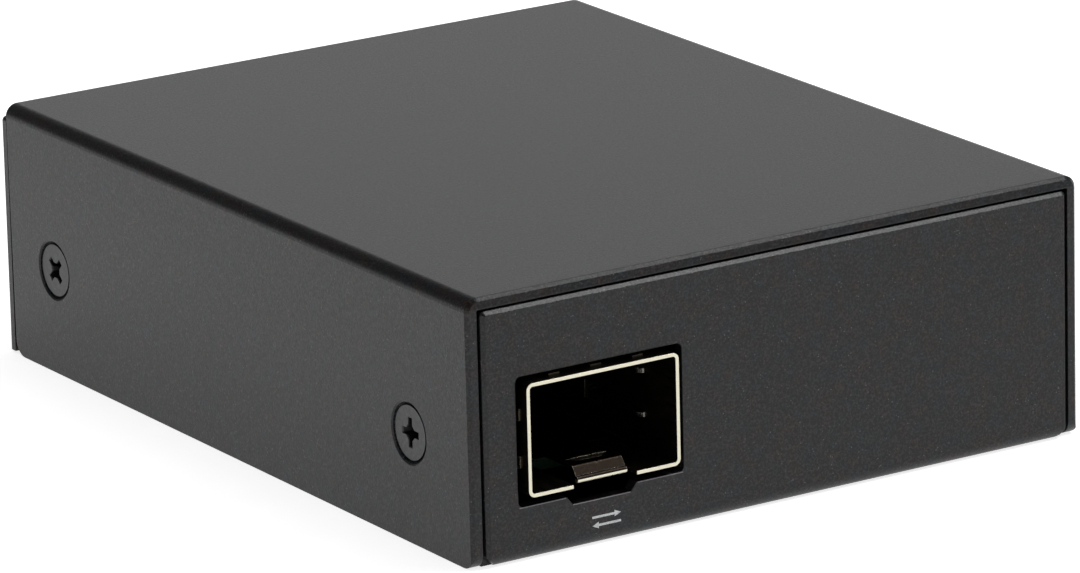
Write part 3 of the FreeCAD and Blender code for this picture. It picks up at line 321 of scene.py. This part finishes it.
def tray_coat():
    """The tray's coat, painted pale along the slot's lower edge as a highlight."""
    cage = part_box("transceiver_cage_shell")
    centre = (cage[0].x + cage[1].x) / 2
    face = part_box("base_tray")[0].y
    regions = []
    for start, end, level in SLOT_EDGES:
        corners = ((centre + start, face - MM, level - EDGE_WIDTH), (centre + end, face + EDGE_DEPTH, level))
        regions.append((corners, COAT_GLOSS, EDGE_PAINTED_HIGHLIGHT))
    return powder_coat("powder_coat_tray", regions)


def blackened_steel():
    """Oil-blackened screw: satin, paler where the driver and the threads rub, and near black in the cross
    recess as painted shade.
    """
    s = Shade("blackened_steel")
    wear = s.noise(0.35 * MM, detail=4.0, rough=0.6)
    low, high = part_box("cover_screws")
    cross = s.inside(*around_box(low, high, min_x=low.x + SCREW_FACE, max_x=high.x - SCREW_FACE))
    tone = s.ramp(wear, [(0.35, (0.028, 0.028, 0.030)),
                         (0.62, (0.060, 0.060, 0.062)),
                         (0.80, (0.13, 0.13, 0.13))])
    # painted shade: the cross recess is near black
    s.colour(s.mix(cross, tone, (0.004, 0.004, 0.005)))
    s.roughness(s.span(wear, 0.3, 0.7, 0.34, 0.5))
    s.set(Metallic=0.55)
    s.normal(s.bump(wear, 0.15, 0.02 * MM, s.soft_edges(0.05 * MM)))
    return s.material


def sheet_metal(name, colour, dark, rough, cut=None, rim=None):
    """Bare rolled sheet: rolling lines, slight stains and, where given, cut edges and a rim painted pale as
    highlights.
    """
    s = Shade(name)
    lines = s.noise(0.25 * MM, detail=3.0, stretch=(1.0, 0.12, 1.0))
    stain = s.noise(2.5 * MM, detail=3.0)
    face = s.mix(s.span(stain, 0.38, 0.72, 0.0, 0.6), colour, dark)
    # painted highlight: cut edges and the rim are painted pale
    if cut:
        pale = s.edges(0.05 * MM)
        if rim:
            pale = s.math("MAXIMUM", pale, s.inside(*rim))
        face = s.mix(pale, face, cut)
    s.colour(face)
    s.roughness(s.span(lines, 0.3, 0.7, rough - 0.07, rough + 0.09))
    s.set(Metallic=1.0)
    s.normal(s.bump(lines, 0.08, 0.02 * MM, s.soft_edges(0.05 * MM)))
    return s.material


def cage_shell_metal():
    low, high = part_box("transceiver_cage_shell")
    mouth = around_box(low, high, max_y=low.y + MOUTH_DEPTH)
    # the shell's near-black base colour is painted shade for the cage's dim inside
    return sheet_metal("nickel_silver_shell", (0.08, 0.068, 0.05), CAGE_STAIN_AND_PAINTED_SHADE, 0.34, cut=CAGE_CUT_PAINTED_HIGHLIGHT, rim=mouth)


def cage_floor_metal():
    low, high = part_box("transceiver_cage_floor")
    lip = around_box(low, high, max_y=low.y + LIP_DEPTH, max_z=low.z + LIP_HEIGHT)
    # the whole floor is near black: painted shade inside the cage
    return sheet_metal("nickel_silver_floor", CAGE_STAIN_AND_PAINTED_SHADE, CAGE_STAIN_AND_PAINTED_SHADE, 0.30, cut=CAGE_CUT_PAINTED_HIGHLIGHT, rim=lip)


def moulding(name, colour, rough=0.5):
    """Moulded plastic with a faint spark-eroded texture."""
    s = Shade(name)
    texture = s.noise(0.12 * MM, detail=2.0)
    lift = tuple(min(1.0, 1.5 * c + 0.01) for c in colour)
    s.colour(s.mix(s.span(texture, 0.35, 0.75, 0.0, 0.2), colour, lift))
    s.roughness(s.span(texture, 0.3, 0.7, rough - 0.05, rough + 0.08))
    s.normal(s.bump(texture, 0.12, 0.02 * MM, s.soft_edges(0.08 * MM)))
    return s.material


def lens(name, colour):
    """Translucent tinted lens, unlit."""
    s = Shade(name)
    cloud = s.noise(0.8 * MM, detail=2.0)
    deep = tuple(0.55 * c for c in colour)
    s.colour(s.mix(s.span(cloud, 0.3, 0.7, 0.0, 1.0), colour, deep))
    s.roughness(s.span(cloud, 0.3, 0.7, 0.16, 0.24))
    s.set(Transmission_Weight=0.35, IOR=1.49, Coat_Weight=0.3)
    s.normal(s.soft_edges(0.15 * MM))
    return s.material


def laminate():
    """Green solder mask over glass cloth, with the copper's faint relief."""
    s = Shade("board_laminate")
    weave = s.noise(0.5 * MM, detail=1.0)
    copper = s.cells(2.2 * MM, feature="SMOOTH_F1")
    tracks = s.span(copper, 0.35, 0.45, 0.0, 1.0)
    s.colour(s.mix(tracks, (0.002, 0.013, 0.005), (0.004, 0.024, 0.009)))
    s.roughness(s.span(weave, 0.3, 0.7, 0.26, 0.36))
    s.normal(s.bump(tracks, 0.2, 0.02 * MM))
    return s.material


def port_ink():
    """Pale grey screen-printed ink, slightly uneven over the coat."""
    s = Shade("port_ink")
    speck = s.noise(0.10 * MM, detail=2.0)
    s.colour(s.ramp(speck, [(0.30, (0.30, 0.31, 0.32)), (0.60, (0.50, 0.51, 0.52))]))
    s.roughness(s.span(speck, 0.3, 0.7, 0.5, 0.65))
    s.normal(s.bump(speck, 0.2, 0.01 * MM))
    return s.material


def floor_finish():
    """White paper that glows a little."""
    s = Shade("floor_paper")
    fibre = s.noise(6 * MM, detail=4.0)
    s.colour(s.ramp(fibre, [(0.3, 0.86), (0.7, 0.90)]))
    s.roughness(s.span(fibre, 0.3, 0.7, 0.75, 0.9))
    s.set(Emission_Color=(1, 1, 1, 1), Emission_Strength=FLOOR_GLOW)
    return s.material


def slot_finishes():
    """Material of each slot of the record, for the nodes that have none of their own."""
    return {
        "black_screw_finish": blackened_steel(),
        "zinc_plated_steel": sheet_metal("zinc_plated_steel", (0.60, 0.61, 0.63), (0.42, 0.43, 0.46), 0.30),
        "board_laminate": laminate(),
        # near-black base colour as painted shade for the cage's dim inside, cut edges painted pale as
        # highlights
        "nickel_silver": sheet_metal("nickel_silver", (0.10, 0.085, 0.065), (0.05, 0.04, 0.03), 0.34,
                                     cut=(0.46, 0.41, 0.32)),
        "bright_nickel": sheet_metal("bright_nickel", (0.74, 0.73, 0.70), (0.55, 0.53, 0.50), 0.20),
        "black_moulding": moulding("black_moulding", (0.018, 0.018, 0.019)),
        "gold_contact": sheet_metal("gold_contact", (0.90, 0.66, 0.28), (0.70, 0.48, 0.18), 0.22),
        "green_lens": lens("green_lens", (0.25, 0.62, 0.28)),
        "yellow_lens": lens("yellow_lens", (0.85, 0.66, 0.16)),
        "chip_package": moulding("chip_package", (0.024, 0.024, 0.026), 0.55),
        "ferrite": moulding("ferrite", (0.09, 0.09, 0.095), 0.7),
        "capacitor_can": sheet_metal("capacitor_can", (0.82, 0.82, 0.83), (0.66, 0.66, 0.68), 0.34),
        "ceramic_body": moulding("ceramic_body", (0.52, 0.38, 0.24), 0.4),
    }


def node_finishes():
    """Materials of the nodes that differ from their slot on an edge or a rim."""
    return {
        "top_cover": cover_coat(),
        "base_tray": tray_coat(),
        "transceiver_cage_shell": cage_shell_metal(),
        "transceiver_cage_floor": cage_floor_metal(),
    }


def dress(by_slot, by_node):
    """Gives every CAD node its own finish, or else that of its slot."""
    slots = {part["node"]: part["material_slot"] for part in frame["record"]["subparts"]}
    for name, node in frame["nodes"].items():
        material = by_node.get(name) or by_slot[slots[name]]
        if not node.material_slots:
            node.data.materials.append(material)
        for holder in node.material_slots:
            holder.material = material


# ================================================================ pieces
def mesh_piece(name, points, faces, material):
    mesh = bpy.data.meshes.new(name)
    mesh.from_pydata(points, [], faces)
    mesh.update()
    mesh.materials.append(material)
    piece = bpy.data.objects.new(name, mesh)
    bpy.context.scene.collection.objects.link(piece)
    return piece


def merged(shapes):
    """Points and faces of several (points, faces) shapes as one."""
    points, faces = [], []
    for shape_points, shape_faces in shapes:
        start = len(points)
        points += shape_points
        faces += [tuple(start + corner for corner in face) for face in shape_faces]
    return points, faces


def arrow(middle, way):
    """Flat arrow in the panel's plane that points along way * X."""
    tip = ARROW_LENGTH / 2
    neck = tip - ARROW_HEAD
    half = ARROW_STROKE / 2
    outline = [(-tip, -half), (neck, -half), (neck, -ARROW_HEAD_HALF), (tip, 0), (neck, ARROW_HEAD_HALF),
               (neck, half), (-tip, half)]
    return [middle + Vector((way * x, 0, z)) for x, z in outline], [range(len(outline))]


def port_mark(material):
    """Screen-printed pair of opposed arrows under the slot: data in, data out."""
    low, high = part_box("transceiver_cage_shell")
    panel_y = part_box("base_tray")[0].y
    middle = Vector(((low.x + high.x) / 2 + MARK_SHIFT, panel_y - MARK_PROUD, MARK_LEVEL))
    arrows = [arrow(middle + Vector((0, 0, way * ARROW_GAP)), way) for way in (1, -1)]
    piece = mesh_piece("port_mark", *merged(arrows), material)
    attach(piece, "root")


def arched_strip(wall, inward, start, level):
    """Thin strip along Y that bows inward from a wall at x = wall, and touches it at both ends."""
    low, high = level - SPRING_WIDTH / 2, level + SPRING_WIDTH / 2
    points, faces = [], []
    for step in range(SPRING_STEPS + 1):
        way = step / SPRING_STEPS
        back = wall + inward * SPRING_BOW * math.sin(math.pi * way)
        front = back + inward * SPRING_THICKNESS
        y = start + SPRING_LENGTH * way
        points += [(back, y, low), (back, y, high), (front, y, high), (front, y, low)]
    for step in range(SPRING_STEPS):
        ring = 4 * step
        for corner in range(4):
            after = (corner + 1) % 4
            faces.append((ring + corner, ring + after, ring + 4 + after, ring + 4 + corner))
    last = 4 * SPRING_STEPS
    return points, faces + [(0, 1, 2, 3), (last + 3, last + 2, last + 1, last)]


def inner_springs(material):
    """Small arched contact springs on the cage's inner side walls, just behind its mouth."""
    low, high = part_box("transceiver_cage_shell")
    walls = [(1, low.x + CAGE_SHEET), (-1, high.x - CAGE_SHEET)]
    strips = [arched_strip(wall, inward, low.y + SPRING_SETBACK, level)
              for inward, wall in walls for level in SPRING_LEVELS]
    piece = mesh_piece("cage_inner_springs", *merged(strips), material)
    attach(piece, "root")


# ================================================================ stage
def floor():
    """White floor, open under the tray's flat middle so that the underside can be looked at."""
    low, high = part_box("base_tray")
    left, right = low.x + FLOOR_HOLE_INSET, high.x - FLOOR_HOLE_INSET
    near, far = low.y + FLOOR_HOLE_INSET, high.y - FLOOR_HOLE_INSET
    rim = [(-FLOOR_REACH, -FLOOR_REACH), (FLOOR_REACH, -FLOOR_REACH), (FLOOR_REACH, FLOOR_REACH),
           (-FLOOR_REACH, FLOOR_REACH)]
    hole = [(left, near), (right, near), (right, far), (left, far)]
    points = [(x, y, FLOOR_LEVEL) for x, y in rim + hole]
    faces = [(i, (i + 1) % 4, 4 + (i + 1) % 4, 4 + i) for i in range(4)]
    mesh_piece("floor", points, faces, floor_finish())


def area_light(name, place, size, power):
    """Rectangular white light that faces the origin."""
    data = bpy.data.lights.new(name, "AREA")
    data.shape = "RECTANGLE"
    data.size, data.size_y = size
    data.energy = power
    light = bpy.data.objects.new(name, data)
    bpy.context.scene.collection.objects.link(light)
    light.location = place
    light.rotation_euler = (-Vector(place)).to_track_quat("-Z", "Y").to_euler()


def sky():
    """Studio surround: a white sweep up to 20 degrees, shaded behind on the left, and a dark ceiling."""
    world = bpy.data.worlds.new("studio")
    bpy.context.scene.world = world
    world.use_nodes = True
    tree = world.node_tree

    def add(kind, *values):
        """New node whose first inputs are values, each a plain one or a socket."""
        node = tree.nodes.new(kind)
        for socket, value in zip(node.inputs, values):
            if isinstance(value, (int, float, tuple)):
                socket.default_value = value
            else:
                tree.links.new(value, socket)
        return node

    where = add("ShaderNodeTexCoord").outputs["Generated"]
    height = add("ShaderNodeSeparateXYZ", where).outputs["Z"]
    level = add("ShaderNodeVectorMath", where, (1, 1, 0))
    level.operation = "MULTIPLY"
    heading = add("ShaderNodeVectorMath", level.outputs["Vector"])
    heading.operation = "NORMALIZE"
    facing = add("ShaderNodeVectorMath", heading.outputs["Vector"], (*SHADED_HEADING, 0))
    facing.operation = "DOT_PRODUCT"
    wall = add("ShaderNodeMapRange", facing.outputs["Value"], 0.5, 0.95, WALL, WALL_SHADED)
    rise = [math.sin(math.radians(angle)) for angle in WALL_TOP]
    light = add("ShaderNodeMapRange", height, *rise, wall.outputs["Result"], CEILING)
    back = tree.nodes["Background"]
    back.inputs["Color"].default_value = (1, 1, 1, 1)
    tree.links.new(light.outputs["Result"], back.inputs["Strength"])


def lights():
    sky()
    area_light("key", Vector(KEY_HEADING) * KEY_DISTANCE, KEY_SIZE, KEY_POWER)
    area_light("overhead", Vector((0, 0, OVERHEAD_HEIGHT)), OVERHEAD_SIZE, OVERHEAD_POWER)


def camera():
    """Camera at a fixed distance from the aim point, turned by azimuth, elevation and roll."""
    level = math.cos(CAMERA_ELEVATION)
    back = Vector((math.sin(CAMERA_AZIMUTH) * level, -math.cos(CAMERA_AZIMUTH) * level,
                   math.sin(CAMERA_ELEVATION)))
    right = Vector((math.cos(CAMERA_AZIMUTH), math.sin(CAMERA_AZIMUTH), 0))
    up = back.cross(right)
    foot = Vector((0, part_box("top_cover")[0].y, 0))
    aim = foot + right * AIM_RIGHT + up * AIM_UP
    turn = Matrix((right, up, back)).transposed() @ Matrix.Rotation(CAMERA_ROLL, 3, "Z")
    data = bpy.data.cameras.new("camera")
    data.sensor_width = SENSOR_WIDTH
    data.lens = CAMERA_LENS
    data.clip_start = 0.01
    data.clip_end = 20.0
    eye = bpy.data.objects.new("camera", data)
    bpy.context.scene.collection.objects.link(eye)
    eye.matrix_world = Matrix.Translation(aim + back * CAMERA_DISTANCE) @ turn.to_4x4()
    bpy.context.scene.camera = eye


def main():
    bpy.context.scene.view_settings.view_transform = "Standard"
    camera()
    lights()
    floor()
    by_slot = slot_finishes()
    dress(by_slot, node_finishes())
    inner_springs(by_slot["bright_nickel"])
    port_mark(port_ink())


main()
